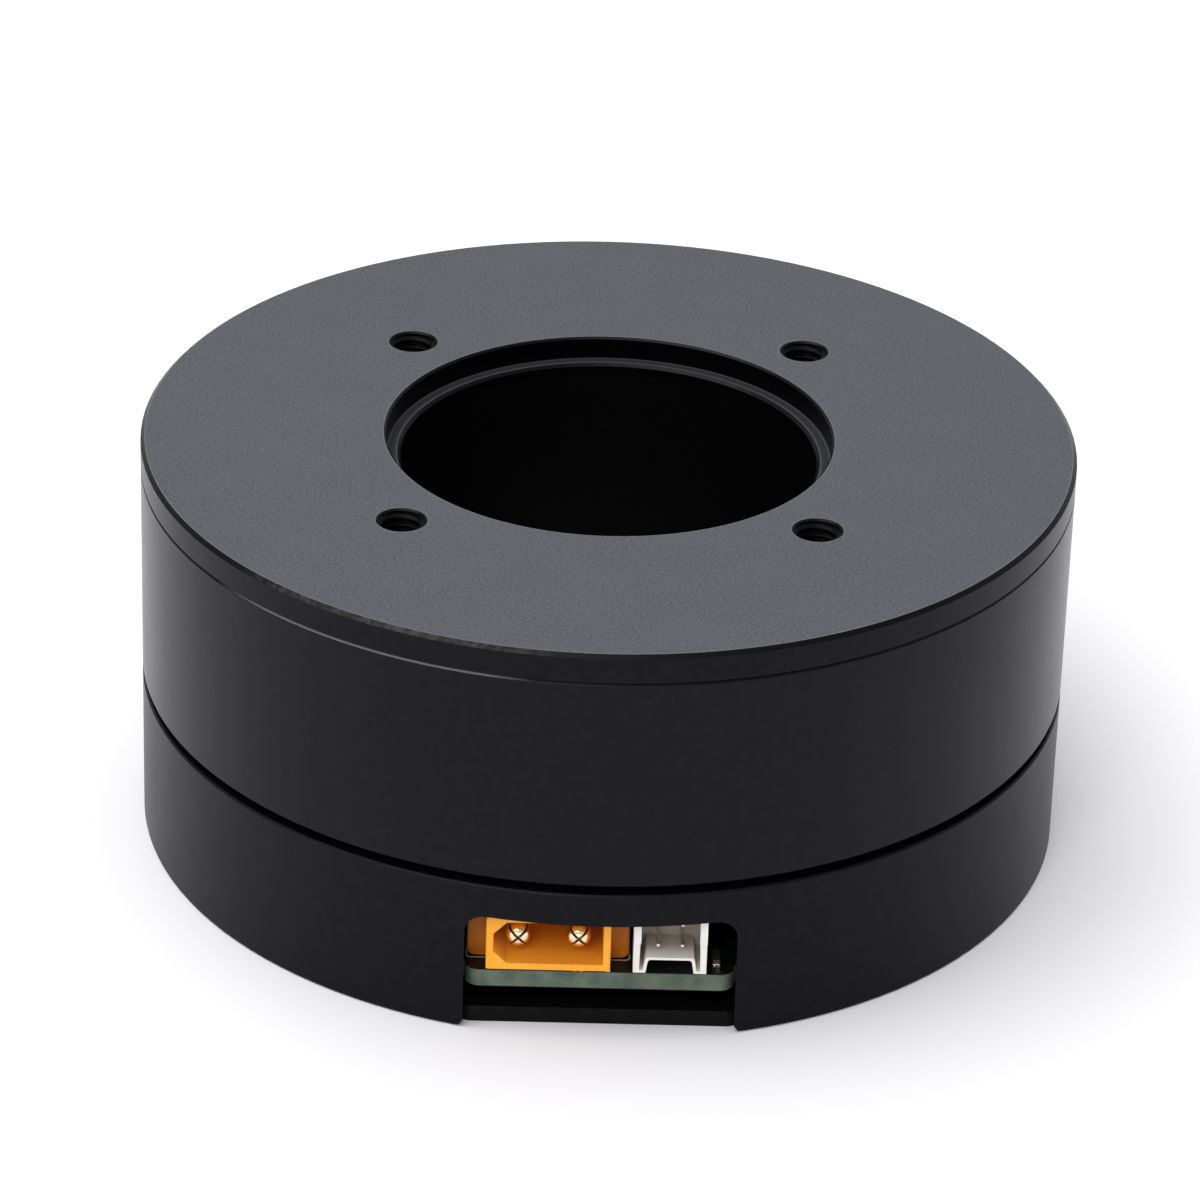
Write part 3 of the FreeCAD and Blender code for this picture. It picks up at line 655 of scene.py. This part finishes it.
def power_pins():
    """Gilt contacts: four sprung prongs with a rounded tip, split by a cross turned 45 degrees."""
    x0, x1, y0, y1, z0, z1 = in_mm("power_pins")
    radius = (z1 - z0) / 2
    z = (z0 + z1) / 2
    half_slot, slot_depth, around = 0.10, 2.0, 10
    tip = [(0.34, 0.0), (0.56, 0.05), (0.74, 0.13), (0.87, 0.25), (0.96, 0.42), (1.0, 0.66)]

    def quarter_section(r):
        """A quarter of a disc, cut back from its two straight sides by the slots, as (u, v) points."""
        reach = math.sqrt(r * r - half_slot * half_slot)
        start, end = math.atan2(half_slot, reach), math.atan2(reach, half_slot)
        points = [(half_slot, half_slot)]
        for k in range(around + 1):
            a = start + (end - start) * k / around
            points.append((r * math.cos(a), r * math.sin(a)))
        return points

    bm = bmesh.new()
    for x in (x0 + radius, x1 - radius):
        for quarter in range(4):
            turn = math.radians(45 + 90 * quarter)
            cos, sin = math.cos(turn), math.sin(turn)
            loft(bm, [
                [(x + u * cos - v * sin, y0 + depth, z + u * sin + v * cos)
                 for u, v in quarter_section(radius * share)]
                for share, depth in tip + [(1.0, slot_depth)]
            ])
        root = [(0, slot_depth), (radius, slot_depth), (radius, y1 - y0), (0, y1 - y0)]
        turned_along_y(bm, root, (x, y0, z), 40)
    add_piece("power_contacts", bm, "pin_gold", "base", ["power_pins"], 0.025 * MM, 30.0)


# ---- signal header --------------------------------------------------------------------------------
def signal_header():
    """White two-row header: a thin shroud whose floor arches between two hollow feet, rails above."""
    x0, x1, rail_y, y1, z0, z1 = in_mm("signal_socket")
    front = board_low.y / MM
    half_width, middle = (x1 - x0) / 2, (x0 + x1) / 2
    skin, foot, flare, arch_z = 0.24, 1.05, 0.22, z0 + 1.25
    low_wall, high_wall, cavity_depth, round_off = 0.52, 0.62, 3.8, 0.03
    rail_height, rail_forward, overlap = 2.48, 0.15, 0.02

    def shell(wall_low, wall_high, inset):
        """The (x, z) outline, from one top corner down round the arch to the other."""
        arch = half_width - foot + inset
        half = [
            (arch - flare - 0.22, arch_z + inset), (arch - flare - 0.03, arch_z - 0.05 + inset),
            (arch - flare * 0.72, arch_z - 0.24 + inset * 0.6), (arch, z0 + inset),
            (half_width - wall_low, z0 + inset), (half_width - wall_high, z1 - inset),
        ]
        left = [(middle - x, z) for x, z in half]
        right = [(middle + x, z) for x, z in half]
        return left[::-1] + right

    outer = shell(0.0, 0.0, 0.0)
    rim = shell(low_wall, high_wall, skin)
    bm = bmesh.new()
    loft(bm, [
        at_y(outer, y1), at_y(outer, front + round_off),
        at_y(shell(round_off, round_off, round_off), front),
        at_y(shell(low_wall - round_off, high_wall - round_off, skin - round_off), front),
        at_y(rim, front + round_off), at_y(rim, front + cavity_depth),
    ])
    for a, b in ((x0, x0 + high_wall), (x1 - high_wall, x1)):
        bm_box(bm, a, b, rail_y - rail_forward, front + overlap, z1 - rail_height, z1)
    add_piece("white_header_shell", bm, "socket_white", "base", ["signal_socket"], 0.03 * MM, 30.0)


def signal_pins():
    """Four tinned pins with rounded tips."""
    x0, x1, y0, y1, z0, z1 = in_mm("signal_pins")
    half = 0.2
    sections = ((0.07, y0), (0.13, y0 + 0.03), (0.18, y0 + 0.10), (half, y0 + 0.22), (half, y1))
    bm = bmesh.new()
    for x in (x0 + half, x1 - half):
        for z in (z0 + half, z1 - half):
            loft(bm, [
                at_y(outline(x - size, x + size, z - size, z + size, (size * 0.55,) * 4), y)
                for size, y in sections
            ])
    add_piece("header_pins", bm, "pin_tin", "base", ["signal_pins"], 0.0, 40.0)


# ---- small parts on the board ---------------------------------------------------------------------
def drop(bm, x, y, z, rx, ry, rz):
    """A small rounded drop of solder, flattened a little below."""
    flattened = 0.75
    for vertex in bmesh.ops.create_icosphere(bm, subdivisions=2, radius=1.0)["verts"]:
        u, v, w = vertex.co
        sag = flattened if w < 0 else 1.0
        vertex.co = Vector((x + u * rx, y + v * ry, z + w * rz * sag)) * MM


def capacitor():
    """Ceramic block with metal ends, and the solder that holds them."""
    x0, x1, y0, y1, z0, z1 = in_mm("board_capacitor")
    end, end_margin, side_margin, end_drop = 0.34, 0.02, 0.01, 0.38
    side_inset, end_inset = 0.03, 0.06
    body, ends = bmesh.new(), bmesh.new()
    bm_box(
        body, x0 + side_inset, x1 - side_inset, y0 + end_inset, y1 - end_inset,
        z0 + side_inset, z1 - side_inset
    )
    for a, b in ((y0 + end_margin, y0 + end), (y1 - end, y1 - end_margin)):
        bm_box(ends, x0 + side_margin, x1 - side_margin, a, b, z0, z1 - end_drop)
    drop(ends, x0 + 0.19, y0 + 0.04, z0 + 0.20, 0.16, 0.14, 0.17)
    drop(ends, x1 - 0.14, y0 + 0.02, z0 + 0.36, 0.09, 0.10, 0.10)
    add_piece("capacitor_body", body, "capacitor_ceramic", "base", ["board_capacitor"], 0.06 * MM)
    add_piece("capacitor_solder", ends, "pin_tin", "base", (), 0.06 * MM, finish="solder")


def board_ink():
    """The placement line printed round the power socket: a thin raised band with rounded corners."""
    x0, x1, y0, y1, _, _ = in_mm("power_socket")
    side, start, end = 0.1, 1.85, 0.3
    radius, width, high = 0.4, 0.12, 0.02
    z = board_high.z / MM
    edges = (x0 - side, x1 + side, y0 + start, y1 + end)
    outer = outline(*edges, (radius,) * 4)
    inner = outline(*edges, (radius - width,) * 4, inset=width)
    bm = bmesh.new()
    loft(bm, [at_z(outer, z), at_z(outer, z + high), at_z(inner, z + high), at_z(inner, z)], joined=True)
    add_piece("board_ink", bm, "board_laminate", "base", finish="ink_white")


all_threads()
power_socket()
power_pins()
signal_header()
signal_pins()
capacitor()
board_ink()


# ---- studio ---------------------------------------------------------------------------------------
def floor():
    """A wide pale disc just under the part."""
    radius, drop_z = 3.0, 0.02 * MM
    f = Finish("studio_floor", (0.76, 0.755, 0.77), 0.75, specular=0.2)
    f.paint(f.mottle(60 * MM, 0.006))
    mesh = bpy.data.meshes.new("studio_floor")
    bm = bmesh.new()
    bmesh.ops.create_circle(bm, cap_ends=True, segments=96, radius=radius)
    bm.to_mesh(mesh)
    bm.free()
    mesh.materials.append(f.material)
    disc = bpy.data.objects.new("studio_floor", mesh)
    disc.location.z = -drop_z
    bpy.context.scene.collection.objects.link(disc)


def softbox(name, direction, distance, size, power):
    """A square light that looks at the part from a direction."""
    light = bpy.data.lights.new(name, "AREA")
    light.shape = "SQUARE"
    light.size = size
    light.energy = power
    lamp = bpy.data.objects.new(name, light)
    way = Vector(direction).normalized()
    lamp.location = way * distance + Vector((0, 0, TOP_Z / 2))
    lamp.rotation_euler = way.to_track_quat("Z", "Y").to_euler()
    bpy.context.scene.collection.objects.link(lamp)


def studio_lights():
    """A bright even room, with a key light high on the left, a wide one overhead and one in front."""
    world = bpy.data.worlds.new("studio")
    bpy.context.scene.world = world
    world.use_nodes = True
    background = world.node_tree.nodes["Background"]
    background.inputs["Color"].default_value = (0.95, 0.95, 1.0, 1.0)
    background.inputs["Strength"].default_value = 0.60
    softbox("key_light", (-0.45, -0.15, 0.95), 0.75, 0.40, 0.9)
    softbox("overhead_light", (-0.20, 0.12, 1.0), 1.5, 1.8, 25.0)
    softbox("front_light", (-0.25, -1.0, 0.80), 1.2, 0.5, 4.5)


def photo_camera():
    """The camera at the photograph's angle: a long lens that looks down at the notch side."""
    tilt, roll, yaw = math.radians(27.927), math.radians(1.817), math.radians(0.9)
    away, shift_left, shift_down = 0.48229, 0.000347, 0.014327
    lens_mm, sensor_mm, clip_start = 169.14, 36.0, 0.01
    right = Vector((1, 0, 0))
    up = Vector((0, math.sin(tilt), math.cos(tilt)))
    forward = Vector((0, math.cos(tilt), -math.sin(tilt)))
    place = -forward * away - right * shift_left - up * shift_down + Vector((0, 0, TOP_Z))
    side = right * math.cos(roll) + up * math.sin(roll)
    rise = -right * math.sin(roll) + up * math.cos(roll)
    turn = Matrix.Rotation(-yaw, 4, "Z")
    pose = Matrix.Identity(4)
    for column, axis in enumerate((side, rise, -forward)):
        pose.col[column] = (*axis, 0.0)
    pose.col[3] = (*place, 1.0)
    data = bpy.data.cameras.new("photo_camera")
    data.lens = lens_mm
    data.sensor_width = sensor_mm
    data.clip_start = clip_start
    camera = bpy.data.objects.new("photo_camera", data)
    camera.matrix_world = turn @ pose
    bpy.context.scene.collection.objects.link(camera)
    bpy.context.scene.camera = camera


floor()
studio_lights()
photo_camera()
bpy.context.scene.view_settings.view_transform = "Standard"
